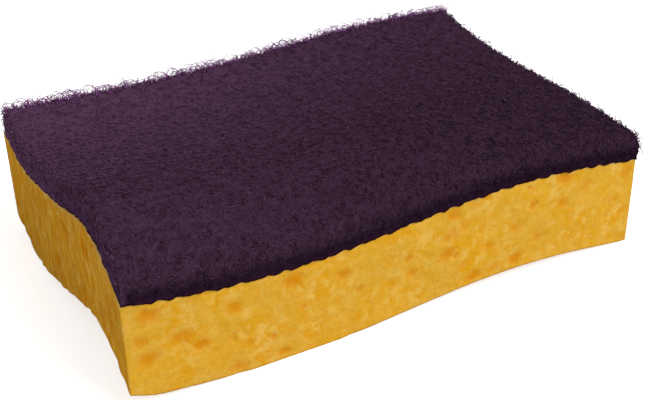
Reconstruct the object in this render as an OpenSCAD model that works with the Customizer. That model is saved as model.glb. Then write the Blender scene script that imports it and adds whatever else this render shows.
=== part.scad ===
// Two-layer cleaning sponge: an open-celled cellulose block with a nonwoven
// scouring pad bonded flush on top. The whole slab has dried into a doubly
// warped shape, so all four edges sway and it stands on a few low places.
// Millimetres, +Z up, origin on the table under the middle of the outline.

/* [Slab] */
// Length of the slab, left to right
slab_length = 140; // [100:1:180]
// Width of the slab, front to back
slab_width = 90; // [60:1:120]
// Thickness of the cellulose block
block_thick = 25; // [18:0.5:40]
// Thickness of the scouring pad
pad_thick = 7; // [5:0.5:10]

/* [Warp] */
// Sway of the front edge, in one, two, three and four half waves
front_sway = [-0.2, -2.7, 0, 0]; // [-8:0.05:8]
// Sway of the back edge
back_sway = [-0.35, -1.05, 0.35, 0]; // [-8:0.05:8]
// Sway of the left edge, front to back
left_sway = [3.1, 5.6, 1, 1.1]; // [-8:0.05:8]
// Sway of the right edge, front to back
right_sway = [-1.4, 1, 0, 0]; // [-8:0.05:8]
// Height of the front right corner over the front left one
front_right_rise = -3.8; // [-8:0.1:8]
// Height of the back left corner over the front left one
back_left_rise = 0.7; // [-8:0.1:8]
// Height of the back right corner over the front left one
back_right_rise = 0.3; // [-8:0.1:8]
// How much of the lowest places is pressed flat by the table
flat_press = 0.45; // [0.1:0.05:1]

/* [Open cells] */
// Distance between neighbouring large cells
cell_pitch = 12; // [9:0.5:20]
// Radius of the smallest large cell
cell_small = 1.3; // [0.8:0.1:1.6]
// Radius of the largest cell
cell_large = 2.1; // [1.7:0.1:2.6]
// How far a cell's middle lies off the cut face, as a share of its radius
cell_offset = 0.35; // [0.1:0.05:0.5]
// Solid cellulose kept between a cell and the nearest edge
cell_margin = 1; // [0.5:0.1:2]

/* [Pad] */
// Rounding of the pad's upper rim
rim_round = 2.2; // [1:0.1:3]
// Height of the soft lumps in the web
lump_height = 0.35; // [0:0.05:0.6]
// Spacing of the soft lumps
lump_pitch = 17; // [14:0.5:30]

/* [Hidden] */

block_colour = "#DDA63C";
pad_colour = "#47304A";

// The surfaces are drawn on one grid, shared by both layers, so that the pad
// lies on the block face to face.
grid_step = 4;
cols = round(slab_length / grid_step);
rows = round(slab_width / grid_step);
rim_steps = 3;
cell_facets = 32;

// Height of an edge at t, from 0 to 1 along it
function sway(t, waves) =
    waves * [for (k = [1:len(waves)]) sin(180 * k * t)];

// Height of the warped slab at u along the length and v across the width,
// blended between the four edges and tilted to the four corners
function warp(u, v) =
    (1 - v) * sway(u, front_sway) + v * sway(u, back_sway)
    + (1 - u) * sway(v, left_sway) + u * sway(v, right_sway)
    + u * (1 - v) * front_right_rise
    + (1 - u) * v * back_left_rise
    + u * v * back_right_rise;

lowest = min([for (j = [0:rows], i = [0:cols]) warp(i / cols, j / rows)]);

// Heights over the table: the underside, pressed flat where it stands, and
// the bond between block and pad
function underside(u, v) = max(0, warp(u, v) - lowest - flat_press);
function bond(u, v) = warp(u, v) - lowest - flat_press + block_thick;

// Soft lumps of the pad's web, from -1 to 1
function lumps(x, y) =
    let (turn = 360 / lump_pitch)
    (sin(turn * x + 40 * sin(turn * y / 2.3)) * cos(turn * 0.83 * y)
     + sin(turn * 0.47 * (x + 1.7 * y) + 115) * 0.7) / 1.7;

// Points of a grid over the outline, drawn in by inset on all four sides
function plan(u, v, inset) = [
    (u - 0.5) * (slab_length - 2 * inset),
    (v - 0.5) * (slab_width - 2 * inset)
];
function u_of(p) = p.x / slab_length + 0.5;
function v_of(p) = p.y / slab_width + 0.5;

// Steps around the outline, anticlockwise from the front left corner
around = [
    each [for (i = [0:cols - 1]) [i, 0]],
    each [for (j = [0:rows - 1]) [cols, j]],
    each [for (i = [cols:-1:1]) [i, rows]],
    each [for (j = [rows:-1:1]) [0, j]]
];
grid_count = (cols + 1) * (rows + 1);
function grid_index(step) = step[1] * (cols + 1) + step[0];

function sheet_faces(first, upward) = [
    for (j = [0:rows - 1], i = [0:cols - 1])
        let (
            a = first + grid_index([i, j]),
            b = first + grid_index([i + 1, j]),
            c = first + grid_index([i + 1, j + 1]),
            d = first + grid_index([i, j + 1])
        )
        each (upward ? [[a, c, b], [a, d, c]] : [[a, b, c], [a, c, d]])
];
function wall_faces(lower, upper) = [
    for (k = [0:len(around) - 1])
        let (next = (k + 1) % len(around))
        each [
            [lower[k], upper[k], upper[next]],
            [lower[k], upper[next], lower[next]]
        ]
];

// A closed skin from a lower sheet, up through any rings of points around
// the outline, to an upper sheet
module skin(lower, rings, upper) {
    first_of_upper = grid_count + len(rings) * len(around);
    loops = [
        [for (step = around) grid_index(step)],
        each [
            for (r = [0:1:len(rings) - 1])
                [for (k = [0:len(around) - 1]) grid_count + r * len(around) + k]
        ],
        [for (step = around) first_of_upper + grid_index(step)]
    ];
    polyhedron(
        points = concat(lower, [for (ring = rings) each ring], upper),
        faces = concat(
            sheet_faces(0, false),
            [for (r = [0:len(loops) - 2]) each wall_faces(loops[r], loops[r + 1])],
            sheet_faces(first_of_upper, true)
        )
    );
}

underside_sheet = [
    for (j = [0:rows], i = [0:cols])
        let (u = i / cols, v = j / rows)
        [each plan(u, v, 0), underside(u, v)]
];
bond_sheet = [
    for (j = [0:rows], i = [0:cols])
        let (u = i / cols, v = j / rows)
        [each plan(u, v, 0), bond(u, v)]
];
web_sheet = [
    for (j = [0:rows], i = [0:cols])
        let (p = plan(i / cols, j / rows, rim_round))
        [each p, bond(u_of(p), v_of(p)) + pad_thick + lump_height * lumps(p.x, p.y)]
];
// The pad's side: upright, then a quarter round up to the edge of the web
rim_rings = [
    for (r = [0:rim_steps - 1])
        let (turn = 90 * r / rim_steps, inset = rim_round * (1 - cos(turn)))
        [
            for (step = around)
                let (
                    p = plan(step[0] / cols, step[1] / rows, inset),
                    soft = lump_height * lumps(p.x, p.y) * sin(turn)
                )
                [each p, bond(u_of(p), v_of(p)) + pad_thick - rim_round
                    + rim_round * sin(turn) + soft]
        ]
];

// Slots of a loose lattice over one face: the middle of each, and how far a
// cell may be shifted from it without meeting the next one or an edge
function cell_slots(along, up) =
    let (
        n = max(1, floor(along / cell_pitch)),
        m = max(1, floor(up / cell_pitch)),
        free_a = max(0, along / n / 2 - cell_large - cell_margin),
        free_b = max(0, up / m / 2 - cell_large - cell_margin)
    )
    [
        for (j = [0:m - 1], i = [0:n - 1])
            [(i + 0.5) * along / n, (j + 0.5) * up / m, free_a, free_b]
    ];

// Large open cells over one face of the block. For each cell the children
// get its two distances along the face, its radius, and how far its middle
// lies off the face.
module cells(along, up, seed) {
    slots = cell_slots(along, up);
    chance = rands(-1, 1, 4 * len(slots), seed);
    for (k = [0:len(slots) - 1]) {
        slot = slots[k];
        $a = slot[0] + slot[2] * chance[4 * k];
        $b = slot[1] + slot[3] * chance[4 * k + 1];
        $r = cell_small + (cell_large - cell_small) * (chance[4 * k + 2] + 1) / 2;
        $off = $r * cell_offset * chance[4 * k + 3];
        children();
    }
}
module cell() {
    sphere(r = $r, $fn = cell_facets);
}

module long_side_cells(side, seed) {
    v = side < 0 ? 0 : 1;
    cells(slab_length, block_thick, seed) {
        u = $a / slab_length;
        translate([$a - slab_length / 2, side * slab_width / 2 + $off, bond(u, v) - block_thick + $b])
            rotate([90, 0, 0]) cell();
    }
}
module short_side_cells(side, seed) {
    u = side < 0 ? 0 : 1;
    cells(slab_width, block_thick, seed) {
        v = $a / slab_width;
        translate([side * slab_length / 2 + $off, $a - slab_width / 2, bond(u, v) - block_thick + $b])
            rotate([0, 90, 0]) cell();
    }
}
module underside_cells(seed) {
    cells(slab_length, slab_width, seed) {
        u = $a / slab_length;
        v = $b / slab_width;
        translate([$a - slab_length / 2, $b - slab_width / 2, underside(u, v) + $off]) cell();
    }
}

module sponge_block() {
    color(block_colour) difference() {
        skin(underside_sheet, [], bond_sheet);
        long_side_cells(-1, 11);
        long_side_cells(1, 12);
        short_side_cells(-1, 13);
        short_side_cells(1, 14);
        underside_cells(15);
    }
}

module scouring_pad() {
    color(pad_colour) skin(bond_sheet, rim_rings, web_sheet);
}

sponge_block();
scouring_pad();
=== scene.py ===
import bpy
import math
import random
import numpy as np
from mathutils import Matrix, Vector
from mathutils.geometry import delaunay_2d_cdt


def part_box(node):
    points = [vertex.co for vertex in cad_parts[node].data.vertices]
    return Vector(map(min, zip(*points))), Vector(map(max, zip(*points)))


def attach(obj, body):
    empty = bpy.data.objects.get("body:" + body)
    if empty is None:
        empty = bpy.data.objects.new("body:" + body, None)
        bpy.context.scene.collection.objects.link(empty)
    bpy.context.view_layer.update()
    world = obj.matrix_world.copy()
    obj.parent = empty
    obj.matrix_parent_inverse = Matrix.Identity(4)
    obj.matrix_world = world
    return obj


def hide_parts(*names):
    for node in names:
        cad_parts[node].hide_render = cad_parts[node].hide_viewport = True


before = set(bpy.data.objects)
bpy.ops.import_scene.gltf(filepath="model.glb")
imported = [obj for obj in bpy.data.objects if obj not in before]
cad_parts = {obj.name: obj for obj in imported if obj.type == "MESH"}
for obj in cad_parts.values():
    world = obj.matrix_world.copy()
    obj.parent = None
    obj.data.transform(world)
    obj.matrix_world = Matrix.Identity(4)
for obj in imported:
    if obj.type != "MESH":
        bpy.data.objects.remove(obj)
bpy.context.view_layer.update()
mm = 0.001
body = "root"
print("frame read: %d nodes" % len(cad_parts))


# the slab, in the part's own frame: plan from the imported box, sway in millimetres
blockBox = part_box("sponge_block")
slab = {
    "length": blockBox[1][0] - blockBox[0][0],
    "width": blockBox[1][1] - blockBox[0][1],
    "blockThick": 25 * mm,
    "padThick": 7 * mm,
    "frontSway": (-0.2, -2.7, 0, 0),   # one, two, three and four half waves
    "backSway": (-0.35, -1.05, 0.35, 0),
    "leftSway": (3.1, 5.6, 1, 1.1),
    "rightSway": (-1.4, 1, 0, 0),
    "frontRightRise": -3.8,
    "backLeftRise": 0.7,
    "backRightRise": 0.3,
    "flatPress": 0.45,                 # the lowest places are pressed flat by this much
}
halfLength = slab["length"] / 2
halfWidth = slab["width"] / 2


def sway(t, waves):
    return sum(w * np.sin(math.pi * (k + 1) * t) for k, w in enumerate(waves))


def warp(x, y):
    u = x / slab["length"] + 0.5
    v = y / slab["width"] + 0.5
    edges = (1 - v) * sway(u, slab["frontSway"]) + v * sway(u, slab["backSway"])
    edges += (1 - u) * sway(v, slab["leftSway"]) + u * sway(v, slab["rightSway"])
    corners = u * (1 - v) * slab["frontRightRise"] + (1 - u) * v * slab["backLeftRise"]
    return (edges + corners + u * v * slab["backRightRise"]) * mm


def lowestWarp(steps=200):
    x = np.linspace(-0.5, 0.5, steps) * slab["length"]
    y = np.linspace(-0.5, 0.5, steps) * slab["width"]
    gridX, gridY = np.meshgrid(x, y)
    return float(warp(gridX, gridY).min())


lift = -lowestWarp() - slab["flatPress"] * mm


def undersideHeight(x, y):
    return np.maximum(0, warp(x, y) + lift)


def bondHeight(x, y):
    return warp(x, y) + lift + slab["blockThick"]


def webHeight(x, y):
    return bondHeight(x, y) + slab["padThick"]


cornerBond = float(bondHeight(-halfLength, -halfWidth))
print("slab: lift %.2f mm, bond at the front left corner %.2f mm" % (lift / mm, cornerBond / mm))


# node trees
def feed(tree, socket, value):
    if isinstance(value, bpy.types.NodeSocket):
        tree.links.new(value, socket)
    else:
        socket.default_value = value


def put(tree, kind, settings=None, **values):
    made = tree.nodes.new(kind)
    for key, value in (settings or {}).items():
        setattr(made, key, value)
    for name, value in values.items():
        feed(tree, made.inputs[name.replace("_", " ")], value)
    return made


def maths(tree, operation, *values, clamp=False):
    made = tree.nodes.new("ShaderNodeMath")
    made.operation = operation
    made.use_clamp = clamp
    for k, value in enumerate(values):
        feed(tree, made.inputs[k], value)
    return made.outputs[0]


def plus(tree, first, second):
    return maths(tree, "ADD", first, second)


def minus(tree, first, second):
    return maths(tree, "SUBTRACT", first, second)


def times(tree, first, second):
    return maths(tree, "MULTIPLY", first, second)


def vectorMaths(tree, operation, first, second=None, scale=None):
    made = tree.nodes.new("ShaderNodeVectorMath")
    made.operation = operation
    feed(tree, made.inputs[0], first)
    if second is not None:
        feed(tree, made.inputs[1], second)
    if scale is not None:
        feed(tree, made.inputs["Scale"], scale)
    return made.outputs[0]


def split(tree, vector):
    return put(tree, "ShaderNodeSeparateXYZ", Vector=vector).outputs


def mixColours(tree, share, first, second, how="MIX"):
    made = tree.nodes.new("ShaderNodeMix")
    made.data_type = "RGBA"
    made.blend_type = how
    for k, value in ((0, share), (6, first), (7, second)):
        feed(tree, made.inputs[k], value)
    return made.outputs[2]


def spread(tree, value, low, high, toLow=0.0, toHigh=1.0):
    made = tree.nodes.new("ShaderNodeMapRange")
    made.interpolation_type = "SMOOTHSTEP"
    for k, number in enumerate((value, low, high, toLow, toHigh)):
        feed(tree, made.inputs[k], number)
    return made.outputs[0]


def noise(tree, where, size, **more):
    return put(tree, "ShaderNodeTexNoise", Vector=where, Scale=1 / size, **more).outputs


def newTree(name, kind, inputs, outputs):
    tree = bpy.data.node_groups.new(name, kind)
    for label, socketKind, value in inputs:
        socket = tree.interface.new_socket(label, in_out="INPUT", socket_type="NodeSocket" + socketKind)
        if value is not None:
            socket.default_value = value
    for label, socketKind in outputs:
        tree.interface.new_socket(label, in_out="OUTPUT", socket_type="NodeSocket" + socketKind)
    return tree, tree.nodes.new("NodeGroupInput").outputs, tree.nodes.new("NodeGroupOutput").inputs


# geometry trees
def newGeometryTree(name, inputs):
    mesh = [("Geometry", "Geometry", None)]
    return newTree(name, "GeometryNodeTree", mesh + inputs, [("Geometry", "Geometry")])


def randomValue(tree, kind, low, high, seed):
    made = tree.nodes.new("FunctionNodeRandomValue")
    made.data_type = kind
    place = {"FLOAT": 1, "INT": 2}[kind]
    feed(tree, made.inputs[2 * place], low)
    feed(tree, made.inputs[2 * place + 1], high)
    feed(tree, made.inputs["Seed"], seed)
    return made.outputs[place]


def stored(tree, name):
    return put(tree, "GeometryNodeInputNamedAttribute", {"data_type": "FLOAT"}, Name=name).outputs[0]


def store(tree, geometry, name, value, domain="POINT"):
    return put(tree, "GeometryNodeStoreNamedAttribute", {"data_type": "FLOAT", "domain": domain},
               Geometry=geometry, Name=name, Value=value).outputs[0]


def moveBy(tree, geometry, offset):
    return put(tree, "GeometryNodeSetPosition", Geometry=geometry, Offset=offset).outputs[0]


def endTree(tree, geometry, given, finished):
    real = put(tree, "GeometryNodeRealizeInstances", Geometry=geometry)
    done = put(tree, "GeometryNodeSetMaterial", Geometry=real.outputs[0], Material=given["Material"])
    tree.links.new(done.outputs[0], finished["Geometry"])
    return tree


def grow(host, tree, values, name):
    # run a tree on the host, keep its result as a plain mesh and drop the host
    modifier = host.modifiers.new(tree.name, "NODES")
    modifier.node_group = tree
    for item in tree.interface.items_tree:
        if item.in_out == "INPUT" and item.name in values:
            modifier[item.identifier] = values[item.name]
    evaluated = host.evaluated_get(bpy.context.evaluated_depsgraph_get())
    mesh = bpy.data.meshes.new_from_object(evaluated)
    host.modifiers.remove(modifier)
    bpy.data.objects.remove(host)
    mesh.name = name
    grown = bpy.data.objects.new(name, mesh)
    bpy.context.scene.collection.objects.link(grown)
    mesh.calc_loop_triangles()
    print("%s: %d triangles" % (name, len(mesh.loop_triangles)))
    return grown


# plain meshes
def newMesh(name, points, faces, smooth=True):
    mesh = bpy.data.meshes.new(name)
    mesh.from_pydata([tuple(p) for p in points], [], faces)
    mesh.update()
    mesh.validate()
    mesh.shade_smooth() if smooth else mesh.shade_flat()
    made = bpy.data.objects.new(name, mesh)
    bpy.context.scene.collection.objects.link(made)
    return made


def setRise(host, name, share):
    # keep how high up its layer each point lies, for the shader
    spots = np.array([tuple(v.co) for v in host.data.vertices])
    rise = share(spots[:, 0], spots[:, 1], spots[:, 2]).astype(np.float32)
    host.data.attributes.new(name, "FLOAT", "POINT").data.foreach_set("value", rise)


def setX(host, shape):
    # move each point along the slab's length
    for corner in host.data.vertices:
        corner.co.x = float(shape(*corner.co))


def gridFaces(cols, rows):
    starts = [j * (cols + 1) + i for j in range(rows) for i in range(cols)]
    return [(a, a + 1, a + cols + 2, a + cols + 1) for a in starts]


# closed skins over the outline
def outline(step):
    cols = round(slab["length"] / step)
    rows = round(slab["width"] / step)
    x = np.linspace(-0.5, 0.5, cols + 1) * slab["length"]
    y = np.linspace(-0.5, 0.5, rows + 1) * slab["width"]
    front = [(a, y[0]) for a in x[:-1]]
    right = [(x[-1], b) for b in y[:-1]]
    back = [(a, y[-1]) for a in x[:0:-1]]
    left = [(x[0], b) for b in y[:0:-1]]
    return np.array(front + right + back + left), cols, rows


def drawnIn(points, inset):
    half = np.array((halfLength, halfWidth))
    return points * (half - inset) / half


def looseCap(ring, inset, cap, jitter=0.2):
    # triangles that get coarser away from the ring; gives the points inside it, and faces that count
    # the ring's points first
    chance = random.Random(cap["seed"])
    span = np.array((slab["length"], slab["width"])) - 2 * inset
    cols, rows = (int(s / cap["step"]) for s in span)
    inner = []
    for j in range(1, rows):
        for i in range(1, cols):
            across = i + 0.5 * (j % 2) + chance.uniform(-jitter, jitter)
            place = (np.array((across, j + chance.uniform(-jitter, jitter))) / (cols, rows) - 0.5) * span
            if abs(place[0]) < span[0] / 2 - cap["step"] / 2:
                inner.append(place)
    corners = [Vector(p) for p in ring] + [Vector(p) for p in inner]
    count = len(ring)
    border = [(k, (k + 1) % count) for k in range(count)]
    made = delaunay_2d_cdt(corners, border, [], 1, 1e-7, False)
    plan = np.array([tuple(p) for p in made[0]])
    points = np.column_stack((plan, cap["height"](plan[:, 0], plan[:, 1])))
    return points[count:], [list(f) for f in made[2]]


def evenCap(ring, inset, cap, cols, rows):
    # even squares over the whole outline, given as looseCap gives its own
    x = np.linspace(-0.5, 0.5, cols + 1) * (slab["length"] - 2 * inset)
    y = np.linspace(-0.5, 0.5, rows + 1) * (slab["width"] - 2 * inset)
    gridX, gridY = np.meshgrid(x, y)
    gridZ = cap["height"](gridX, gridY)
    border = {}
    for k in range(cols):
        border[(k, 0)] = k
        border[(cols - k, rows)] = cols + rows + k
    for k in range(rows):
        border[(cols, k)] = cols + k
        border[(0, rows - k)] = 2 * cols + rows + k
    inner = []
    number = []
    for j in range(rows + 1):
        for i in range(cols + 1):
            number.append(border.get((i, j), len(ring) + len(inner)))
            if (i, j) not in border:
                inner.append((gridX[j, i], gridY[j, i], gridZ[j, i]))
    return inner, [[number[k] for k in face] for face in gridFaces(cols, rows)]


def skin(name, step, rings, lowCap, highCap):
    # rings go up the wall as (inset, height); a cap without a step is an even grid
    rim, cols, rows = outline(step)
    count = len(rim)
    points = []
    faces = []
    for inset, height in rings:
        plan = drawnIn(rim, inset)
        points.extend(np.column_stack((plan, height(plan[:, 0], plan[:, 1]))))
    for r in range(len(rings) - 1):
        for k in range(count):
            a, b = r * count + k, r * count + (k + 1) % count
            faces.append((a, b, b + count, a + count))
    for cap, level, upward in ((lowCap, 0, False), (highCap, len(rings) - 1, True)):
        inset = rings[level][0]
        ring = drawnIn(rim, inset)
        if "step" in cap:
            inner, capFaces = looseCap(ring, inset, cap)
        else:
            inner, capFaces = evenCap(ring, inset, cap, cols, rows)
        shift = len(points) - count
        points.extend(inner)
        for face in capFaces:
            turned = [k + (level * count if k < count else shift) for k in face]
            faces.append(turned if upward else turned[::-1])
    return newMesh(name, points, faces)


def ragged(way, wave):
    # an uneven wave: a main one that drifts, and a finer one
    drift = 2 * np.sin(way / wave["drift"])
    main = wave["mainTall"] * np.sin(way / wave["mainLong"] + drift)
    return main + wave["fineTall"] * np.sin(way / wave["fineLong"] + 1)


# shader groups
def srgb(red, green, blue):
    tones = [c / 255 for c in (red, green, blue)]
    return tuple(c / 12.92 if c <= 0.04045 else ((c + 0.055) / 1.055) ** 2.4 for c in tones) + (1.0,)


def buildMottle():
    # soft patches in a noise
    tree, given, finished = newTree(
        "mottle", "ShaderNodeTree",
        [("Vector", "Vector", None), ("Patch", "Float", 0.006), ("Softness", "Float", 0.15),
         ("Shift", "Float", 0.0), ("Bend", "Float", 0.0)],
        [("Mask", "Float")])
    scale = maths(tree, "DIVIDE", 1.0, given["Patch"])
    moved = vectorMaths(tree, "ADD", given["Vector"], given["Shift"])
    cloud = put(tree, "ShaderNodeTexNoise", Vector=moved, Scale=scale, Detail=2.0, Roughness=0.5,
                Distortion=given["Bend"])
    low = minus(tree, 0.5, given["Softness"])
    high = plus(tree, 0.5, given["Softness"])
    feed(tree, finished["Mask"], spread(tree, cloud.outputs["Fac"], low, high))
    return tree


def buildFineCells():
    # small round pits with random sizes, as a height and as a mask
    tree, given, finished = newTree(
        "fineCells", "ShaderNodeTree",
        [("Vector", "Vector", None), ("Spacing", "Float", 0.002), ("Size", "Float", 0.3)],
        [("Height", "Float"), ("Mask", "Float")])
    scale = maths(tree, "DIVIDE", 1.0, given["Spacing"])
    cells = put(tree, "ShaderNodeTexVoronoi", Vector=given["Vector"], Scale=scale, Randomness=1.0)
    tone = put(tree, "ShaderNodeSeparateColor", Color=cells.outputs["Color"])
    size = times(tree, given["Size"], plus(tree, tone.outputs[0], 0.5))
    mask = spread(tree, cells.outputs["Distance"], times(tree, size, 0.4), size, 1.0, 0.0)
    feed(tree, finished["Mask"], mask)
    feed(tree, finished["Height"], minus(tree, 1.0, mask))
    return tree


webPaintedLightAndShadeLook = {
    # painted shade: the lower part of the sides is multiplied by these, and the line along the bond by the
    # last, a painted shadow where the web meets the block; the third is painted light on the left end
    "left": (0.38, 0.36, 0.43, 1),
    "right": (0.5, 0.46, 0.56, 1),
    "leftEndPaintedLight": (0.95, 0.95, 1.15, 1),
    "bond": (0.62, 0.42, 0.4, 1),
    # painted light on the left end: over this reach the side's painted shade gives way to a lighter, bluer
    # one, and the tone rises by the gain
    "leftEndFrom": 0.2 * mm,
    "leftEndTo": 2.2 * mm,
    "leftEndPaintedLightGain": 0.5,
    "bondPaintedShadeRise": (0.0, 0.12, 0.8, 0.0),   # fades between the first two shares of the pad's height
    "sidePaintedShadeRise": (0.17, 0.66),
    # painted sheen: where the painted light is strong the colour is evened towards this
    "even": srgb(75, 50, 72),
    "paintedSheenByLight": (0.7, 1.9, 0.05, 0.5),
    "paintedLightReach": 0.575,                  # share of the slab's length and width
    # painted light from corner to corner, lightest at the back left and darkest at the front right
    "frontPaintedLight": (1.0, 0.72),           # left and right
    "backPaintedLight": (1.8, 1.1),
}


def buildWebPaintedLightAndShade():
    # painted shade that darkens the sides towards the bond, and painted light that runs from corner to
    # corner, with a painted sheen where it is strongest and more painted light on the left end
    look = webPaintedLightAndShadeLook
    tree, given, finished = newTree(
        "webPaintedLightAndShade", "ShaderNodeTree",
        [("Vector", "Vector", None), ("Rise", "Float", 0.0), ("Color", "Color", None)],
        [("Color", "Color")])
    rise = given["Rise"]
    spot = split(tree, given["Vector"])
    # painted light on the left end
    leftEndPaintedLight = spread(tree, spot["X"], look["leftEndFrom"] - halfLength, look["leftEndTo"] - halfLength,
                     1.0, 0.0)
    # painted shade: the sides darken towards the bond, less towards the right end, with a warmer painted
    # shadow along the bond, and it fades out up the side
    side = mixColours(tree, spread(tree, spot["X"], -halfLength, halfLength), look["left"], look["right"])
    side = mixColours(tree, leftEndPaintedLight, side, look["leftEndPaintedLight"])
    side = mixColours(tree, spread(tree, rise, *look["bondPaintedShadeRise"]), side, look["bond"])
    shade = mixColours(tree, spread(tree, rise, *look["sidePaintedShadeRise"]), side, (1.0, 1.0, 1.0, 1.0))
    # painted light, lightest at the back left and darkest at the front right, with a painted sheen that
    # evens the colour where it is strongest
    reachX, reachY = look["paintedLightReach"] * slab["length"], look["paintedLightReach"] * slab["width"]
    front = spread(tree, spot["X"], -reachX, reachX, *look["frontPaintedLight"])
    back = spread(tree, spot["X"], -reachX, reachX, *look["backPaintedLight"])
    tone = spread(tree, spot["Y"], -reachY, reachY, front, back)
    paintedSheenHazed = mixColours(tree, spread(tree, tone, *look["paintedSheenByLight"]), given["Color"], look["even"])
    tone = times(tree, tone, plus(tree, times(tree, leftEndPaintedLight, look["leftEndPaintedLightGain"]), 1.0))
    paintedLightGrey = put(tree, "ShaderNodeCombineColor", Red=tone, Green=tone, Blue=tone).outputs[0]
    shaded = mixColours(tree, 1.0, paintedSheenHazed, shade, "MULTIPLY")
    feed(tree, finished["Color"], mixColours(tree, 1.0, shaded, paintedLightGrey, "MULTIPLY"))
    return tree


mottle = buildMottle()
fineCells = buildFineCells()
webPaintedLightAndShade = buildWebPaintedLightAndShade()
print("shader groups built")


# materials
def newMaterial(name):
    material = bpy.data.materials.new(name)
    material.use_nodes = True
    tree = material.node_tree
    tree.nodes.clear()
    shader = tree.nodes.new("ShaderNodeBsdfPrincipled")
    tree.links.new(shader.outputs[0], tree.nodes.new("ShaderNodeOutputMaterial").inputs["Surface"])
    return material, tree, shader


def finishShader(tree, shader, colour, roughness, bump=None):
    tree.links.new(colour, shader.inputs["Base Color"])
    if bump:
        tree.links.new(bump.outputs[0], shader.inputs["Normal"])
    shader.inputs["Roughness"].default_value = roughness
    shader.inputs["Specular IOR Level"].default_value = 0.0


def useGroup(tree, group, **values):
    made = tree.nodes.new("ShaderNodeGroup")
    made.node_tree = group
    for name, value in values.items():
        feed(tree, made.inputs[name], value)
    return made.outputs


def attribute(tree, name):
    return put(tree, "ShaderNodeAttribute", {"attribute_name": name}).outputs["Fac"]


celluloseLook = {
    "yellow": srgb(224, 168, 42),
    "olive": srgb(212, 163, 54),
    "pale": srgb(231, 188, 91),
    "orange": srgb(219, 154, 13),
    "deep": srgb(214, 133, 6),
    "bright": srgb(240, 187, 72),
    "shade": srgb(198, 147, 44),
    "saw": srgb(196, 114, 12),
    "paintedEdgeHighlight": srgb(244, 205, 135),
    "olivePatches": {"Patch": 16 * mm, "Softness": 0.2, "Shift": 0.7},
    "busyPatches": {"Patch": 9.6 * mm, "Softness": 0.2, "Shift": 2.3},
    "palePatches": {"Patch": 3.4 * mm, "Softness": 0.1, "Bend": 0.5},
    "orangePatches": {"Patch": 2.72 * mm, "Softness": 0.1, "Shift": 1.9, "Bend": 0.5},
    "flecks": {"Patch": 1.1 * mm, "Softness": 0.16, "Shift": 0.37},
    "litPatches": {"Patch": 2.4 * mm, "Softness": 0.14, "Shift": 3.3},
    "fineCells": {"Spacing": 1.3 * mm, "Size": 0.42},
    "busyShares": (0.25, 0.8),
    "fleckShare": 0.22,
    "finePitShadeShare": 0.16,
    "paintedCellShadeByDepth": (0.0, 0.9, 0.0, 0.75),
    "streakWide": 1.0 * mm,
    "streakLong": 7 * mm,
    "sawByStreak": (0.36, 0.68, 0.0, 0.6),
    "litShares": (0.2, 0.3, 0.75),   # least on the long sides, least on the ends, and most
    "litRise": (0.965, 1.0),
    "endFacing": (0.6, 0.9),
    "grainSize": 0.45 * mm,
    "crumpleSize": 2.2 * mm,
    "heights": {"fine": 0.5, "crumple": 2.0, "streaks": 3.0},   # against the grain's 1
    "bump": {"Strength": 0.42, "Distance": 0.25 * mm},
    "roughness": 0.9,
}


def celluloseMaterial():
    look = celluloseLook
    material, tree, shader = newMaterial("yellowCellulose")
    coordinates = tree.nodes.new("ShaderNodeTexCoord").outputs
    where = coordinates["Object"]

    def patches(name):
        return useGroup(tree, mottle, Vector=where, **look[name])["Mask"]
    fine = useGroup(tree, fineCells, Vector=where, **look["fineCells"])
    busy = spread(tree, patches("busyPatches"), 0.0, 1.0, *look["busyShares"])
    colour = mixColours(tree, patches("olivePatches"), look["yellow"], look["olive"])
    colour = mixColours(tree, times(tree, patches("palePatches"), busy), colour, look["pale"])
    colour = mixColours(tree, times(tree, patches("orangePatches"), busy), colour, look["orange"])
    colour = mixColours(tree, times(tree, patches("flecks"), look["fleckShare"]), colour, look["bright"])
    # painted shade in the fine pits
    colour = mixColours(tree, times(tree, fine["Mask"], look["finePitShadeShare"]), colour, look["shade"])
    # painted shade and bounced light: the opened cells turn a deeper, darker orange towards their bottoms
    depth = attribute(tree, "cellDepth")
    colour = mixColours(tree, spread(tree, depth, *look["paintedCellShadeByDepth"]), colour, look["deep"])
    # the end faces are cut along the cells, which leaves upright streaks
    across, along = 1 / look["streakWide"], 1 / look["streakLong"]
    stretched = vectorMaths(tree, "MULTIPLY", where, (across, across, along))
    streaks = noise(tree, stretched, 1.0, Detail=3.0)["Fac"]
    facing = split(tree, coordinates["Normal"])["X"]
    ends = spread(tree, maths(tree, "ABSOLUTE", facing), *look["endFacing"])
    sawn = times(tree, ends, spread(tree, streaks, *look["sawByStreak"]))
    colour = mixColours(tree, sawn, colour, look["saw"])
    # the upper edge is torn, and a painted highlight lies along it in places
    leastSide, leastEnd, most = look["litShares"]
    least = spread(tree, ends, 0.0, 1.0, leastSide, leastEnd)
    lit = spread(tree, patches("litPatches"), 0.0, 1.0, least, most)
    lit = spread(tree, attribute(tree, "blockRise"), *look["litRise"], 0.0, lit)
    colour = mixColours(tree, lit, colour, look["paintedEdgeHighlight"])
    grain = noise(tree, where, look["grainSize"], Detail=4.0, Roughness=0.65)["Fac"]
    crumple = noise(tree, where, look["crumpleSize"], Detail=2.0, Distortion=0.6)["Fac"]
    heights = look["heights"]
    height = plus(tree, times(tree, fine["Height"], heights["fine"]), grain)
    height = plus(tree, height, times(tree, crumple, heights["crumple"]))
    height = plus(tree, height, times(tree, times(tree, ends, streaks), heights["streaks"]))
    bump = put(tree, "ShaderNodeBump", Height=height, **look["bump"])
    finishShader(tree, shader, colour, look["roughness"], bump)
    return material


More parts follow.
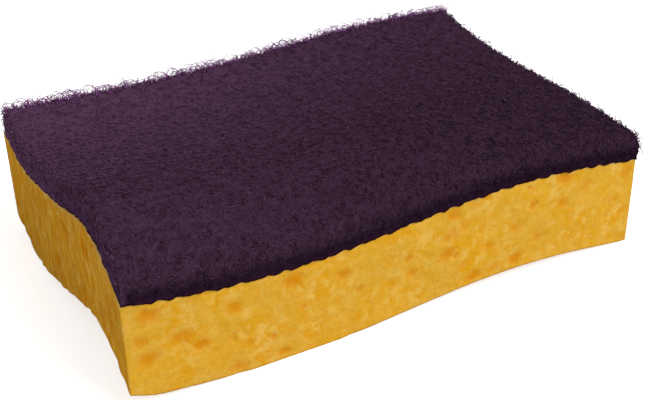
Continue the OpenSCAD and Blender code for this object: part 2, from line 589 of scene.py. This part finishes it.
webLook = {
    "top": srgb(66, 42, 63),
    "pitShade": srgb(40, 23, 38),
    "strand": srgb(86, 62, 83),
    "strandSize": 0.9 * mm,
    "strandShare": (0.4, 0.7, 0.0, 0.5),
    "flecks": {"Patch": 1.4 * mm, "Softness": 0.15},
    "fleckShare": 0.45,
    "paintedPitShadeByDepth": (0.0, 0.6, 0.0, 0.6),
    "bump": {"Strength": 0.9, "Distance": 0.4 * mm},
    "roughness": 0.9,
}


def webMaterial():
    look = webLook
    material, tree, shader = newMaterial("darkWeb")
    where = tree.nodes.new("ShaderNodeTexCoord").outputs["Object"]
    strands = noise(tree, where, look["strandSize"], Detail=3.0, Distortion=2.5)["Fac"]
    colour = mixColours(tree, spread(tree, strands, *look["strandShare"]), look["top"], look["strand"])
    # random flecks darkened towards the same colour as the painted pit shade
    flecks = useGroup(tree, mottle, Vector=where, **look["flecks"])["Mask"]
    colour = mixColours(tree, times(tree, flecks, look["fleckShare"]), colour, look["pitShade"])
    # painted shade: the web darkens in the hollows of its lumps
    depth = attribute(tree, "webDepth")
    colour = mixColours(tree, spread(tree, depth, *look["paintedPitShadeByDepth"]), colour, look["pitShade"])
    # the web's painted shade on its sides and painted light from corner to corner
    colour = useGroup(tree, webPaintedLightAndShade, Vector=where, Rise=attribute(tree, "webRise"), Color=colour)["Color"]
    bump = put(tree, "ShaderNodeBump", Height=strands, **look["bump"])
    finishShader(tree, shader, colour, look["roughness"], bump)
    return material


fibreLook = {
    "tufts": {"Patch": 1.3 * mm, "Softness": 0.12},
    "tuftShare": 0.68,
    "toneShare": 0.22,
    "tipByWay": (0.08, 0.65),   # along a loose fibre from its root
    "roughness": 0.8,
    "webFibre": {"dark": srgb(58, 35, 56), "light": srgb(94, 68, 91)},
    "looseFibre": {"dark": srgb(59, 36, 57), "light": srgb(100, 74, 97), "tip": srgb(158, 84, 160)},
    "edgeFibre": {"dark": srgb(59, 36, 57), "light": srgb(100, 74, 97), "tip": srgb(94, 58, 94)},
}


def fibreMaterial(name):
    look = fibreLook
    tones = look[name]
    material, tree, shader = newMaterial(name)
    where = tree.nodes.new("ShaderNodeTexCoord").outputs["Object"]
    tufts = useGroup(tree, mottle, Vector=where, **look["tufts"])["Mask"]
    share = times(tree, attribute(tree, "fibreTone"), look["toneShare"])
    share = plus(tree, times(tree, tufts, look["tuftShare"]), share)
    colour = mixColours(tree, share, tones["dark"], tones["light"])
    # the fibres take the web's painted shade and painted light
    colour = useGroup(tree, webPaintedLightAndShade, Vector=where, Rise=attribute(tree, "webRise"), Color=colour)["Color"]
    if "tip" in tones:
        way = spread(tree, attribute(tree, "fibreWay"), *look["tipByWay"])
        colour = mixColours(tree, way, colour, tones["tip"])
    finishShader(tree, shader, colour, look["roughness"])
    return material


cellulose = celluloseMaterial()
web = webMaterial()
webFibre = fibreMaterial("webFibre")
looseFibre = fibreMaterial("looseFibre")
edgeFibre = fibreMaterial("edgeFibre")
print("materials made")


# the cellulose block
spongeLook = {
    "meshStep": 0.43 * mm,
    "wallRows": 58,
    "undersideStep": 1.05 * mm,
    "hiddenStep": 5 * mm,
    "cellSpacing": 6.0 * mm,
    "cellRadius": 3.1 * mm,
    "cellDepth": 0.42 * mm,
    "smallSpacing": 3.3 * mm,
    "smallRadius": 1.35 * mm,
    "smallDepth": 0.12 * mm,
    "smallShift": (0.31, 0.17, 0.23),
    "ripple": 0.15 * mm,
    "rippleSize": 1.6 * mm,
    "swell": 0.16 * mm,                 # keeps the mean surface on the plain one
    "wander": 3.4 * mm,                 # the cells' outlines wander by up to half of this
    "wanderSize": 1.8 * mm,
    "stretch": (0.85, 0.85, 1.1),
    "radiusShares": (0.5, 1.3),
    "depthShares": (0.4, 1.2),
    "calmEdge": 2.5 * mm,               # the cells fade this near the upright edges
    "calmLow": 0.09,                    # and over this share of the height, at the lower edge
    "calmShare": 0.15,
    "undersideFacing": (0.75, 0.95),
    "heldTop": (0.96, 0.995, 1.0, 0.0),   # the edge under the pad stays in place
    # the front left corner of the underside is worn up, and hangs a little beside it
    "wornAt": (0, 2.5, 6, 12, 20),      # from the left end, in millimetres as the next line is
    "wornUp": (1.0, 0.35, -0.35, -0.2, 0),
    "wornReach": 9 * mm,
    # the left end is cut roughly and a little askew, and so stands out further down
    "cutReach": 3 * mm,
    "cutUpTo": 0.6,
    "humpTall": 0.75 * mm,
    "humpAt": 15 * mm,
    "humpWide": 16 * mm,
    "rough": {"mainTall": 0.13 * mm, "mainLong": 1.35 * mm, "drift": 3.1 * mm,
              "fineTall": 0.12 * mm, "fineLong": 2.3 * mm},
}


def cellDepths(tree, where, spacing, radius, deepest):
    # depth of the soft round cells that the surface cuts open
    scale = maths(tree, "DIVIDE", 1.0, spacing)
    cells = put(tree, "ShaderNodeTexVoronoi", Vector=where, Scale=scale, Randomness=1.0)
    distance = times(tree, cells.outputs["Distance"], spacing)
    tone = put(tree, "FunctionNodeSeparateColor", Color=cells.outputs["Color"])
    size = times(tree, radius, spread(tree, tone.outputs[0], 0.0, 1.0, *spongeLook["radiusShares"]))
    hollow = spread(tree, maths(tree, "DIVIDE", distance, size), 0.0, 1.0, 1.0, 0.0)
    deep = times(tree, deepest, spread(tree, tone.outputs[1], 0.0, 1.0, *spongeLook["depthShares"]))
    return times(tree, hollow, deep)


def offEdges(tree, position, normal):
    # small near the upright edges and near the lower edge, so that these stay crisp
    calm = spongeLook["calmShare"]
    spot = split(tree, position)
    fromEnd = minus(tree, halfLength, maths(tree, "ABSOLUTE", spot["X"]))
    fromSide = minus(tree, halfWidth, maths(tree, "ABSOLUTE", spot["Y"]))
    inward = maths(tree, "MAXIMUM", fromEnd, fromSide)
    inward = spread(tree, inward, 0.0, spongeLook["calmEdge"], calm, 1.0)
    below = times(tree, split(tree, normal)["Z"], -1.0)
    upward = spread(tree, stored(tree, "blockRise"), 0.0, spongeLook["calmLow"], calm, 1.0)
    upward = maths(tree, "MAXIMUM", upward, spread(tree, below, *spongeLook["undersideFacing"]))
    return times(tree, inward, upward)


def openCellTree():
    look = spongeLook
    tree, given, finished = newGeometryTree("openCells", [
        ("Cell Spacing", "Float", 0.006), ("Cell Radius", "Float", 0.003), ("Cell Depth", "Float", 0.0004),
        ("Small Spacing", "Float", 0.003), ("Small Radius", "Float", 0.001),
        ("Small Depth", "Float", 0.0001), ("Ripple", "Float", 0.0001), ("Swell", "Float", 0.0001),
        ("Material", "Material", None)])
    position = tree.nodes.new("GeometryNodeInputPosition").outputs[0]
    normal = tree.nodes.new("GeometryNodeInputNormal").outputs[0]
    wander = noise(tree, position, look["wanderSize"], Detail=4.0, Roughness=0.7)["Color"]
    shift = vectorMaths(tree, "SUBTRACT", wander, (0.5, 0.5, 0.5))
    shift = vectorMaths(tree, "SCALE", shift, scale=look["wander"])
    where = vectorMaths(tree, "MULTIPLY", vectorMaths(tree, "ADD", position, shift), look["stretch"])
    large = cellDepths(tree, where, given["Cell Spacing"], given["Cell Radius"], given["Cell Depth"])
    moved = vectorMaths(tree, "ADD", where, look["smallShift"])
    small = cellDepths(tree, moved, given["Small Spacing"], given["Small Radius"], given["Small Depth"])
    pits = times(tree, maths(tree, "MAXIMUM", large, small), offEdges(tree, position, normal))
    ripple = noise(tree, position, look["rippleSize"], Detail=2.0)["Fac"]
    ripple = times(tree, ripple, given["Ripple"])
    out = minus(tree, given["Swell"], plus(tree, pits, ripple))
    out = times(tree, out, spread(tree, stored(tree, "blockRise"), *look["heldTop"]))
    step = split(tree, vectorMaths(tree, "SCALE", normal, scale=out))
    # nothing goes down through the table
    stepUp = maths(tree, "MAXIMUM", step["Z"], times(tree, split(tree, position)["Z"], -1.0))
    offset = put(tree, "ShaderNodeCombineXYZ", X=step["X"], Y=step["Y"], Z=stepUp).outputs[0]
    depth = maths(tree, "DIVIDE", pits, given["Cell Depth"])
    kept = store(tree, given["Geometry"], "cellDepth", depth)
    return endTree(tree, moveBy(tree, kept, offset), given, finished)


def cutHeight(x, y):
    nearFront = np.clip(1 - (y + halfWidth) / spongeLook["wornReach"], 0, 1)
    worn = np.interp((x + halfLength) / mm, spongeLook["wornAt"], spongeLook["wornUp"])
    return undersideHeight(x, y) + worn * nearFront * mm


def cutX(x, y, z):
    look = spongeLook
    near = np.clip(1 - (halfLength + x) / look["cutReach"], 0, 1)
    share = (z - undersideHeight(x, y)) / (bondHeight(x, y) - undersideHeight(x, y))
    low = np.clip(1 - share / look["cutUpTo"], 0, 1)
    hump = look["humpTall"] * np.exp(-((y - look["humpAt"]) / look["humpWide"]) ** 2)
    return x - near * low * (hump + ragged(y, look["rough"]))


def makeSponge():
    look = spongeLook
    rows = look["wallRows"]

    def level(share):
        return lambda x, y: cutHeight(x, y) * (1 - share) + bondHeight(x, y) * share

    def rise(x, y, z):
        return (z - cutHeight(x, y)) / (bondHeight(x, y) - cutHeight(x, y))
    host = skin("spongeHost", look["meshStep"], [(0, level(r / rows)) for r in range(rows + 1)],
                {"step": look["undersideStep"], "height": cutHeight, "seed": 3},
                {"step": look["hiddenStep"], "height": bondHeight, "seed": 4})
    setRise(host, "blockRise", rise)
    setX(host, cutX)
    return grow(host, openCellTree(), {
        "Cell Spacing": look["cellSpacing"], "Cell Radius": look["cellRadius"],
        "Cell Depth": look["cellDepth"], "Small Spacing": look["smallSpacing"],
        "Small Radius": look["smallRadius"], "Small Depth": look["smallDepth"],
        "Ripple": look["ripple"], "Swell": look["swell"],
        "Material": cellulose}, "spongeCells")


# the scouring pad's web
padLook = {
    "meshStep": 0.8 * mm,
    "wallRows": 6,
    "roundRows": 7,
    "shoulderIn": 1.9 * mm,
    "shoulderDown": 3.8 * mm,
    "hiddenStep": 4 * mm,
    "lumpSize": 2.6 * mm,
    "lumpHeight": 0.5 * mm,
    "tuftSize": 1.1 * mm,
    "tuftHeight": 0.4 * mm,
    "noiseMiddle": 0.55,         # what the noise swings about
    "noiseGain": 2.0,
    "footInset": 0.6 * mm,
    "proud": 0.15 * mm,
    "loft": 0.3 * mm,            # the fibres stand a little over the plain web
    "hang": 0.25 * mm,           # the lower rim stands out over the block
    "endReach": 6 * mm,
    "leftSetIn": 0.55 * mm,
    "leftRagged": 0.22 * mm,     # along the bond, times the wave below
    "raggedUpTo": 0.3,
    "ragged": {"mainTall": 0.6, "mainLong": 0.9 * mm, "drift": 3.3 * mm,
               "fineTall": 0.5, "fineLong": 0.47 * mm},
    "rightBulge": 0.75 * mm,
    # the lower rim hangs over the block in small uneven scallops
    "fringeDrop": 0.7 * mm,
    "fringeMean": 0.25,          # of the drop
    "fringeSwing": 0.6,
    "fringePitch": 6.3 * mm,
    "fringeSlant": 1.3,
    "fringeMain": 0.5,
    "fringeDrift": (1.4, 3.7),   # how far the main scallops drift, and over how many of them
    "fringeWaves": ((1.7, 0.4, 1), (2.9, 0.22, 2)),   # how often, how tall and the phase
    "fringeCalm": 5 * mm,        # they fade this near the left end
    "fringeLeast": 0.15,
}
webHigh = slab["padThick"] + padLook["loft"]


def webTree():
    tree, given, finished = newGeometryTree("webLumps", [
        ("Lump Size", "Float", 0.0026), ("Lump Height", "Float", 0.0005),
        ("Tuft Size", "Float", 0.0011), ("Tuft Height", "Float", 0.0003), ("Material", "Material", None)])
    position = tree.nodes.new("GeometryNodeInputPosition").outputs[0]
    normal = tree.nodes.new("GeometryNodeInputNormal").outputs[0]

    def bumps(kind):
        scale = maths(tree, "DIVIDE", 1.0, given[kind + " Size"])
        cloud = put(tree, "ShaderNodeTexNoise", Vector=position, Detail=2.0, Scale=scale)
        swing = minus(tree, cloud.outputs["Fac"], padLook["noiseMiddle"])
        return times(tree, swing, given[kind + " Height"])
    total = times(tree, plus(tree, bumps("Lump"), bumps("Tuft")), padLook["noiseGain"])
    free = spread(tree, split(tree, normal)["Z"], -0.3, 0.0)   # the underside stays plain
    kept = store(tree, given["Geometry"], "webDepth", maths(tree, "DIVIDE", total, -mm))
    offset = vectorMaths(tree, "SCALE", normal, scale=times(tree, total, free))
    return endTree(tree, moveBy(tree, kept, offset), given, finished)


def shapedX(x, y, z):
    # the web's left end lies a little inside the block's, and its right end bulges
    look = padLook
    nearLeft = np.clip(1 - (halfLength + x) / look["endReach"], 0, 1)
    nearRight = np.clip(1 - (halfLength - x) / look["endReach"], 0, 1)
    rise = np.clip((z - bondHeight(x, y)) / webHigh, 0, 1)
    bulge = look["rightBulge"] * nearRight ** 2 * np.sin(math.pi * rise)
    offFront = np.clip((y + halfWidth) / look["endReach"], 0, 1)
    low = np.clip(1 - rise / look["raggedUpTo"], 0, 1) * offFront
    setIn = look["leftSetIn"] + look["leftRagged"] * low * ragged(y, look["ragged"])
    return x + setIn * nearLeft ** 2 + bulge


def fringe(x, y):
    look = padLook
    turn = 2 * math.pi / look["fringePitch"]
    way = x + y * look["fringeSlant"]
    far, over = look["fringeDrift"]
    wave = np.sin(turn * way + far * np.sin(turn * way / over)) * look["fringeMain"]
    for often, tall, phase in look["fringeWaves"]:
        wave = wave + np.sin(turn * often * way + phase) * tall
    calm = np.clip((x + halfLength) / look["fringeCalm"], look["fringeLeast"], 1)
    return look["fringeDrop"] * (look["fringeMean"] + look["fringeSwing"] * wave) * calm


def webRise(x, y, z):
    return (z - bondHeight(x, y)) / slab["padThick"]


def makePad():
    look = padLook
    upright = slab["padThick"] - look["shoulderDown"]

    def atWall(share):
        return lambda x, y: bondHeight(x, y) + upright * share - fringe(x, y) * (1 - share)

    def atRound(turn):
        up = upright + (look["shoulderDown"] + look["loft"]) * math.sin(turn)
        return lambda x, y: bondHeight(x, y) + up
    rings = [(look["footInset"], bondHeight)]
    for r in range(look["wallRows"] + 1):
        share = r / look["wallRows"]
        belly = look["proud"] * math.sin(math.pi * (0.25 + 0.75 * share))
        rings.append((-(belly + look["hang"] * (1 - share) ** 4), atWall(share)))
    for r in range(1, look["roundRows"] + 1):
        turn = math.pi / 2 * r / look["roundRows"]
        rings.append((look["shoulderIn"] * (1 - math.cos(turn)), atRound(turn)))
    host = skin("padHost", look["meshStep"], rings,
                {"step": look["hiddenStep"], "height": bondHeight, "seed": 5},
                {"height": lambda x, y: webHeight(x, y) + look["loft"]})
    setRise(host, "webRise", webRise)
    setX(host, shapedX)
    return grow(host, webTree(), {
        "Lump Size": look["lumpSize"], "Lump Height": look["lumpHeight"], "Tuft Size": look["tuftSize"],
        "Tuft Height": look["tuftHeight"], "Material": web}, "padWeb")


# loose curls of fibre
curlLook = {
    "sweepShares": (0.0, 0.33, 0.67, 1.0),   # the arcs to pick from, short to long
    "bendSize": 2.2 * mm,
    "tubeSides": 3,
}


def fibreTree():
    # arcs on the host's surface: Spin turns them about its normal, Stand raises them from lying (0) to
    # upright (1), Roll turns them in their own plane and Rooted moves their first end to the spot that
    # they grow from
    tree, given, finished = newGeometryTree("curledFibres", [
        ("Density", "Float", 300000.0), ("Curl Small", "Float", 0.0008), ("Curl Large", "Float", 0.002),
        ("Sweep Short", "Float", 1.6), ("Sweep Long", "Float", 4.4), ("Spin", "Float", 3.1416),
        ("Tilt", "Float", 0.4), ("Stand", "Float", 0.0), ("Roll", "Float", 0.0), ("Rooted", "Float", 0.0),
        ("Lift", "Float", 0.0001), ("Wander", "Float", 0.001), ("Thickness", "Float", 0.0001),
        ("Points", "Int", 7), ("Seed", "Int", 1), ("Material", "Material", None)])

    def chance(kind, low, high, step):
        # each draw is its own step away from the seed
        return randomValue(tree, kind, low, high, plus(tree, given["Seed"], float(step)))

    def eitherWay(name, step):
        return chance("FLOAT", times(tree, given[name], -1.0), given[name], step)
    spots = put(tree, "GeometryNodeDistributePointsOnFaces", {"distribute_method": "RANDOM"},
                Mesh=given["Geometry"], Density=given["Density"], Seed=given["Seed"])
    rootShift = put(tree, "ShaderNodeCombineXYZ", X=times(tree, given["Rooted"], -1.0))
    arcs = tree.nodes.new("GeometryNodeJoinGeometry")
    for share in curlLook["sweepShares"]:
        sweep = plus(tree, times(tree, given["Sweep Short"], 1 - share),
                     times(tree, given["Sweep Long"], share))
        arc = put(tree, "GeometryNodeCurveArc", {"mode": "RADIUS"},
                  Resolution=given["Points"], Radius=1.0, Sweep_Angle=sweep)
        rooted = put(tree, "GeometryNodeTransform", Geometry=arc.outputs[0],
                     Translation=rootShift.outputs[0])
        single = put(tree, "GeometryNodeGeometryToInstance", Geometry=rooted.outputs[0])
        tree.links.new(single.outputs[0], arcs.inputs[0])
    tiltX = plus(tree, times(tree, given["Stand"], math.pi / 2), eitherWay("Tilt", 5))
    lean = put(tree, "ShaderNodeCombineXYZ", X=tiltX, Y=eitherWay("Tilt", 7), Z=eitherWay("Spin", 11))
    roll = put(tree, "ShaderNodeCombineXYZ", Z=eitherWay("Roll", 13))
    turned = spots.outputs["Rotation"]
    for euler in (lean, roll):
        turn = put(tree, "FunctionNodeEulerToRotation", Euler=euler.outputs[0])
        turned = put(tree, "FunctionNodeRotateRotation", {"rotation_space": "LOCAL"},
                     Rotation=turned, Rotate_By=turn.outputs[0]).outputs[0]
    pick = chance("INT", 0, len(curlLook["sweepShares"]) - 1, 31)
    size = chance("FLOAT", given["Curl Small"], given["Curl Large"], 23)
    placed = put(tree, "GeometryNodeInstanceOnPoints", Points=spots.outputs[0], Instance=arcs.outputs[0],
                 Pick_Instance=True, Instance_Index=pick, Rotation=turned, Scale=size)
    toned = store(tree, placed.outputs[0], "fibreTone", chance("FLOAT", 0.0, 1.0, 47), "INSTANCE")
    lines = put(tree, "GeometryNodeRealizeInstances", Geometry=toned)
    position = tree.nodes.new("GeometryNodeInputPosition").outputs[0]
    moved = vectorMaths(tree, "ADD", position, given["Seed"])
    bend = noise(tree, moved, curlLook["bendSize"], Detail=1.0)["Color"]
    shift = vectorMaths(tree, "SUBTRACT", bend, (0.5, 0.5, 0.5))
    shift = vectorMaths(tree, "SCALE", shift, scale=given["Wander"])
    raised = put(tree, "ShaderNodeCombineXYZ", Z=given["Lift"])
    bent = moveBy(tree, lines.outputs[0], vectorMaths(tree, "ADD", shift, raised.outputs[0]))
    way = tree.nodes.new("GeometryNodeSplineParameter").outputs["Factor"]
    ranked = store(tree, bent, "fibreWay", way)
    section = put(tree, "GeometryNodeCurvePrimitiveCircle", Resolution=curlLook["tubeSides"],
                  Radius=given["Thickness"])
    tubes = put(tree, "GeometryNodeCurveToMesh", Curve=ranked, Profile_Curve=section.outputs[0],
                Fill_Caps=True)
    return endTree(tree, tubes.outputs[0], given, finished)


def patch(cols, rows, place):
    # an open sheet to grow fibres from; place gives a point from two shares
    points = [place(i / cols, j / rows) for j in range(rows + 1) for i in range(cols + 1)]
    made = newMesh("host", points, gridFaces(cols, rows))
    setRise(made, "webRise", webRise)
    return made


def onTop(inset):
    def place(s, t):
        x = (2 * s - 1) * (halfLength - inset)
        y = (2 * t - 1) * (halfWidth - inset)
        z = float(webHeight(x, y)) + padLook["loft"]
        return (float(shapedX(x, y, z)), y, z)
    return place


def onRim(side, low, high, out=0, share=1.0):
    # up one side of the pad from low to high over the bond, then part of the way round its edge
    def place(s, t):
        rise = low + (high - low) * t
        over = min(1.0, max(0.0, 1 + (rise - slab["padThick"]) / padLook["shoulderDown"]))
        inset = padLook["shoulderIn"] * (1 - math.sqrt(1 - over ** 2)) - out
        along = 2 * s * share - 1
        x, y = {
            "front": (along * halfLength, -halfWidth + inset),
            "right": (halfLength - inset, along * halfWidth),
            "back": (-along * halfLength, halfWidth - inset),
            "left": (-halfLength + inset, -along * halfWidth),
        }[side]
        z = float(bondHeight(x, y)) + rise + padLook["loft"] * over
        return (float(shapedX(x, y, z)), y, z)
    return place


hostLook = {
    "cols": 35,
    "topRows": 23,
    "rimRows": 12,
    "edgeRows": 6,
    "topInset": 1.2 * mm,
    "rimOut": 0.1 * mm,
    "rimFoot": 0.9 * mm,                          # over the bond, as the other heights are
    "cornerFoot": 2 * mm,
    "edgeFoot": slab["padThick"] - 0.45 * mm,
    "head": slab["padThick"] - 0.02 * mm,
    "cornerShare": 0.3,                           # of the left side, from the back
}
topFibreLook = {
    "Density": 300000.0, "Curl Small": 0.4 * mm, "Curl Large": 1.0 * mm, "Sweep Short": 0.9,
    "Sweep Long": 2.8, "Tilt": 0.25, "Lift": 0.05 * mm, "Wander": 0.8 * mm, "Thickness": 0.11 * mm,
    "Points": 6,
}
rimFibreLook = {
    "Density": 1400000.0, "Curl Small": 0.4 * mm, "Curl Large": 0.9 * mm, "Sweep Short": 0.9,
    "Sweep Long": 2.6, "Tilt": 0.35, "Lift": 0.0, "Wander": 0.6 * mm, "Thickness": 0.105 * mm,
    "Points": 6,
}
loopLook = {
    "Density": 1000000.0, "Curl Small": 0.9 * mm, "Curl Large": 2.3 * mm, "Sweep Short": 2.8,
    "Sweep Long": 4.6, "Spin": 0.8, "Tilt": 0.4, "Stand": 1.0, "Roll": 0.5, "Lift": 0.4 * mm,
    "Wander": 0.5 * mm, "Thickness": 0.09 * mm, "Points": 12,
}
stubLook = {
    "Density": 900000.0, "Curl Small": 0.9 * mm, "Curl Large": 2.0 * mm, "Sweep Short": 0.7,
    "Sweep Long": 1.9, "Spin": 3.1416, "Tilt": 0.4, "Stand": 1.0, "Roll": 0.4, "Rooted": 1.0,
    "Lift": -0.2 * mm, "Wander": 0.4 * mm, "Thickness": 0.09 * mm, "Points": 6,
}
rightStubLook = {**stubLook, "Density": 260000.0}
fuzzLook = {
    "Density": 3200000.0, "Curl Small": 0.35 * mm, "Curl Large": 0.9 * mm, "Sweep Short": 0.8,
    "Sweep Long": 2.2, "Spin": 3.1416, "Tilt": 0.6, "Stand": 1.0, "Roll": 0.6, "Rooted": 0.9,
    "Lift": -0.2 * mm, "Wander": 0.3 * mm, "Thickness": 0.1 * mm, "Points": 5,
}
rightFuzzLook = {**fuzzLook, "Density": 2700000.0, "Curl Large": 1.1 * mm}
longFuzzLook = {
    **fuzzLook, "Density": 13000000.0, "Curl Small": 0.5 * mm, "Curl Large": 2.3 * mm,
    "Thickness": 0.065 * mm,
}
shortFuzzLook = {
    **fuzzLook, "Density": 11000000.0, "Curl Small": 0.4 * mm, "Curl Large": 1.15 * mm,
    "Thickness": 0.065 * mm,
}


def makeFibres():
    look = hostLook
    tree = fibreTree()
    grown = []

    def add(name, place, rows, fibres, material, seed):
        host = patch(look["cols"], look[rows], place)
        grown.append(grow(host, tree, {**fibres, "Seed": seed, "Material": material}, name))
    for k in range(4):
        add("topFibres%d" % (k + 1), onTop(look["topInset"]), "topRows", topFibreLook, webFibre, 101 + k)
    for k, side in enumerate(("front", "right", "back", "left")):
        rim = onRim(side, look["rimFoot"], look["head"], out=look["rimOut"])
        add("rimFibres%d" % (k + 1), rim, "rimRows", rimFibreLook, webFibre, 201 + k)
    backEdge = onRim("back", look["edgeFoot"], look["head"])
    add("backFuzz", backEdge, "edgeRows", longFuzzLook, looseFibre, 231)
    add("backDown", backEdge, "edgeRows", shortFuzzLook, looseFibre, 235)
    add("backLoops", backEdge, "edgeRows", loopLook, looseFibre, 301)
    add("backStubs", backEdge, "edgeRows", stubLook, looseFibre, 302)
    rightEnd = onRim("right", look["rimFoot"], look["head"])
    add("rightFuzz", rightEnd, "rimRows", rightFuzzLook, edgeFibre, 232)
    add("rightStubs", rightEnd, "rimRows", rightStubLook, edgeFibre, 303)
    backLeft = onRim("left", look["cornerFoot"], look["head"], share=look["cornerShare"])
    add("cornerFuzz", backLeft, "rimRows", fuzzLook, webFibre, 233)
    return grown


sponge = makeSponge()
pad = makePad()
fibres = makeFibres()

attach(sponge, body)
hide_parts("sponge_block")
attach(pad, body)
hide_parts("scouring_pad")
for piece in fibres:
    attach(piece, body)
print("pieces ride on the slab")


# floor, light and camera
stageLook = {
    "floorSize": 4.0,
    "floorShade": 0.86,
    "floorGlow": 0.66,
    "ambient": 0.43,
    "key": {"place": (0.55, -0.9, 1.1), "size": 0.8, "power": 15},
    "fill": {"place": (-0.9, -0.5, 0.9), "size": 1.0, "power": 0.6},
}


def seenStraight(tree):
    # 1 for what the camera sees, also in a reflection or through a clear piece
    rays = tree.nodes.new("ShaderNodeLightPath").outputs
    seen = plus(tree, rays["Is Camera Ray"], rays["Is Glossy Ray"])
    return maths(tree, "ADD", seen, rays["Is Transmission Ray"], clamp=True)


def makeFloor():
    half = stageLook["floorSize"] / 2
    shade = stageLook["floorShade"]
    corners = [(-half, -half, 0), (half, -half, 0), (half, half, 0), (-half, half, 0)]
    floor = newMesh("floor", corners, [(0, 1, 2, 3)], smooth=False)
    material = bpy.data.materials.new("paleFloor")
    material.use_nodes = True
    tree = material.node_tree
    tree.nodes.clear()
    matt = put(tree, "ShaderNodeBsdfDiffuse", Color=(shade, shade, shade, 1))
    strength = times(tree, seenStraight(tree), stageLook["floorGlow"])
    glow = put(tree, "ShaderNodeEmission", Strength=strength)
    both = tree.nodes.new("ShaderNodeAddShader")
    tree.links.new(matt.outputs[0], both.inputs[0])
    tree.links.new(glow.outputs[0], both.inputs[1])
    tree.links.new(both.outputs[0], tree.nodes.new("ShaderNodeOutputMaterial").inputs["Surface"])
    floor.data.materials.append(material)


def makeWorld():
    world = bpy.data.worlds.new("studio")
    bpy.context.scene.world = world
    world.use_nodes = True
    tree = world.node_tree
    tree.nodes.clear()
    ambient = stageLook["ambient"]
    strength = plus(tree, ambient, times(tree, seenStraight(tree), 1 - ambient))
    sky = put(tree, "ShaderNodeBackground", Color=(1, 1, 1, 1), Strength=strength)
    tree.links.new(sky.outputs[0], tree.nodes.new("ShaderNodeOutputWorld").inputs["Surface"])


def makeLamp(name, place, size, power):
    lamp = bpy.data.lights.new(name, "AREA")
    lamp.size = size
    lamp.energy = power
    made = bpy.data.objects.new(name, lamp)
    made.location = place
    made.rotation_euler = (-Vector(place)).to_track_quat("-Z", "Y").to_euler()
    bpy.context.scene.collection.objects.link(made)


cameraView = {
    "place": (-123.1 * mm, -238.6 * mm, 168.9 * mm),
    "turn": 27.79,      # degrees from straight back towards the right
    "down": 30.58,
    "roll": -1.31,
    "focalPixels": 1154.5,
    "frameWidth": 649,
    "sensorWidth": 36,
}


def makeCamera():
    view = cameraView
    turn, down, roll = (math.radians(view[k]) for k in ("turn", "down", "roll"))
    level = math.cos(down)
    ahead = Vector((math.sin(turn) * level, math.cos(turn) * level, -math.sin(down)))
    right = Vector((math.cos(turn), -math.sin(turn), 0))
    up = right.cross(ahead)
    rolledRight = right * math.cos(roll) + up * math.sin(roll)
    rolledUp = up * math.cos(roll) - right * math.sin(roll)
    data = bpy.data.cameras.new("camera")
    data.sensor_width = view["sensorWidth"]
    data.lens = view["focalPixels"] / view["frameWidth"] * view["sensorWidth"]
    data.clip_start = 10 * mm
    camera = bpy.data.objects.new("camera", data)
    facing = Matrix((rolledRight, rolledUp, -ahead)).transposed().to_4x4()
    camera.matrix_world = Matrix.Translation(Vector(view["place"])) @ facing
    bpy.context.scene.collection.objects.link(camera)
    bpy.context.scene.camera = camera


makeFloor()
makeWorld()
for lampName in ("key", "fill"):
    makeLamp(lampName, **stageLook[lampName])
makeCamera()
bpy.context.scene.view_settings.view_transform = "Standard"
print("stage, lamps and camera set")
